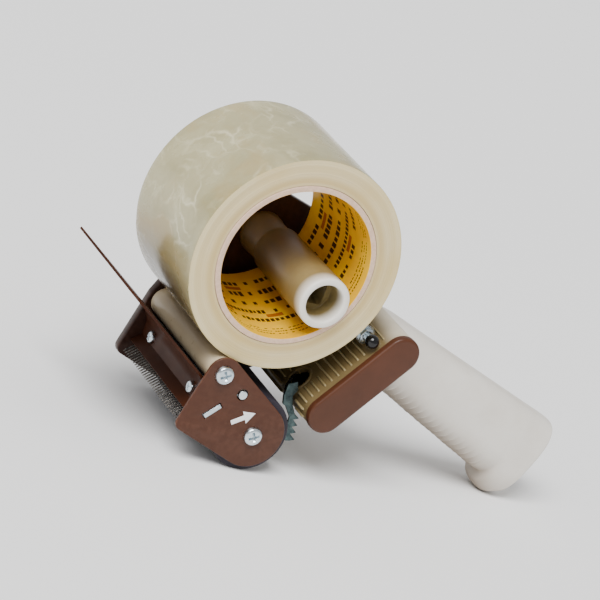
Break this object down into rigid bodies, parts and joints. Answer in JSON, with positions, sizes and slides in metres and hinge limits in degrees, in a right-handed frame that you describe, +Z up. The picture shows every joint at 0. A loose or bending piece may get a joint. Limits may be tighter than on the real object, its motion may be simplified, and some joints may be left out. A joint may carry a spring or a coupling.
{
  "type": "hand-held packing tape dispenser",
  "caption": "Pistol-grip carton-sealing tape dispenser with a wide tape roll on a free hub tube, applicator roller, toothed cutter and flat wiper.",
  "frame": {"origin": "bottom centre of the bounding box of the dispenser standing on its applicator roller and handle toe", "axes": "+X from the cutter towards the handle, +Y from the open side towards the main side frame, +Z up"},
  "size_m": [0.2692, 0.0886, 0.1617],
  "materials": {
    "brown_paint": "dark brown gloss paint on pressed steel",
    "brown_plastic": "dark brown moulded plastic, satin",
    "ivory_plastic": "off-white moulded plastic, satin",
    "olive_plastic": "ivory moulded plastic seen in shade, satin",
    "roller_plastic": "cream plastic tube, smooth",
    "grey_rubber": "near-black rubber, matte",
    "black_plastic": "black plastic, polished",
    "zinc": "bright zinc-plated steel",
    "blade_steel": "bare spring steel",
    "black_wire": "blackened spring wire",
    "cardboard": "paper-wound core with a yellow printed face",
    "tape_film": "many layers of clear film, milky straw colour"
  },
  "bodies": {
    "frame": {"side_frame": "brown_paint", "near_plate": "brown_paint", "tie_rod": "zinc", "tie_strip": "zinc", "idler_shaft": "zinc", "idler_screw_near": "zinc", "idler_screw_far": "zinc", "applicator_shaft": "zinc", "applicator_screw_near": "zinc", "applicator_screw_far": "zinc", "hub_bolt": "zinc", "hub_nut": "zinc", "hub_collar": "ivory_plastic", "blade": "blade_steel", "blade_holder": "zinc", "wiper": "brown_plastic", "wiper_screw_near": "zinc", "wiper_screw_far": "zinc", "body_beam": "olive_plastic", "end_cap": "brown_plastic", "handle_near_shell": "ivory_plastic", "handle_far_shell": "ivory_plastic", "grip_screw_1": "zinc", "grip_screw_2": "zinc", "grip_screw_3": "zinc", "beam_bolt_1": "zinc", "beam_bolt_2": "zinc", "frame_screw_1": "zinc", "frame_screw_2": "zinc", "frame_screw_3": "zinc", "brake_bracket": "zinc", "brake_nut_near": "zinc", "brake_nut_far": "zinc", "drag_spring": "blade_steel"},
    "tape_roll": {"tape_roll": "tape_film", "tape_core": "cardboard"},
    "core_tube": {"core_tube": "ivory_plastic"},
    "idler_roller": {"idler_roller": "roller_plastic"},
    "applicator_roller": {"applicator_core": "black_plastic", "applicator_tyre": "grey_rubber"},
    "holdback": {"holdback_arm": "zinc", "holdback_spring": "black_wire"},
    "adjuster": {"ball_knob": "black_plastic", "brake_stud": "zinc"}
  },
  "joints": [
    {"name": "roll_spin", "type": "hinge", "parent": "frame", "child": "tape_roll", "pos_m": [-0.0601, -0.0027, 0.10741], "axis": [0, 1, 0], "continuous": true},
    {"name": "tube_spin", "type": "hinge", "parent": "frame", "child": "core_tube", "pos_m": [-0.03995, -0.0087, 0.0933], "axis": [0, 1, 0], "continuous": true},
    {"name": "idler_spin", "type": "hinge", "parent": "frame", "child": "idler_roller", "pos_m": [-0.0757, -0.0007, 0.0474], "axis": [0, 1, 0], "continuous": true},
    {"name": "applicator_spin", "type": "hinge", "parent": "frame", "child": "applicator_roller", "pos_m": [-0.0484, -0.0007, 0.0197], "axis": [0, 1, 0], "continuous": true},
    {"name": "holdback_swing", "type": "hinge", "parent": "frame", "child": "holdback", "pos_m": [-0.01974, -0.0152, 0.04224], "axis": [0, -1, 0], "range_deg": [-3, 8], "stiffness_Nm_per_rad": 0.02},
    {"name": "adjuster_turn", "type": "hinge", "parent": "frame", "child": "adjuster", "pos_m": [-0.00286, -0.0287, 0.07717], "axis": [0, 1, 0], "range_deg": [-180, 180]}
  ],
  "couplings": [
    {"joint": "tube_spin", "follows": "roll_spin", "ratio": 2.9084},
    {"joint": "idler_spin", "follows": "roll_spin", "ratio": -7.4384}
  ]
}
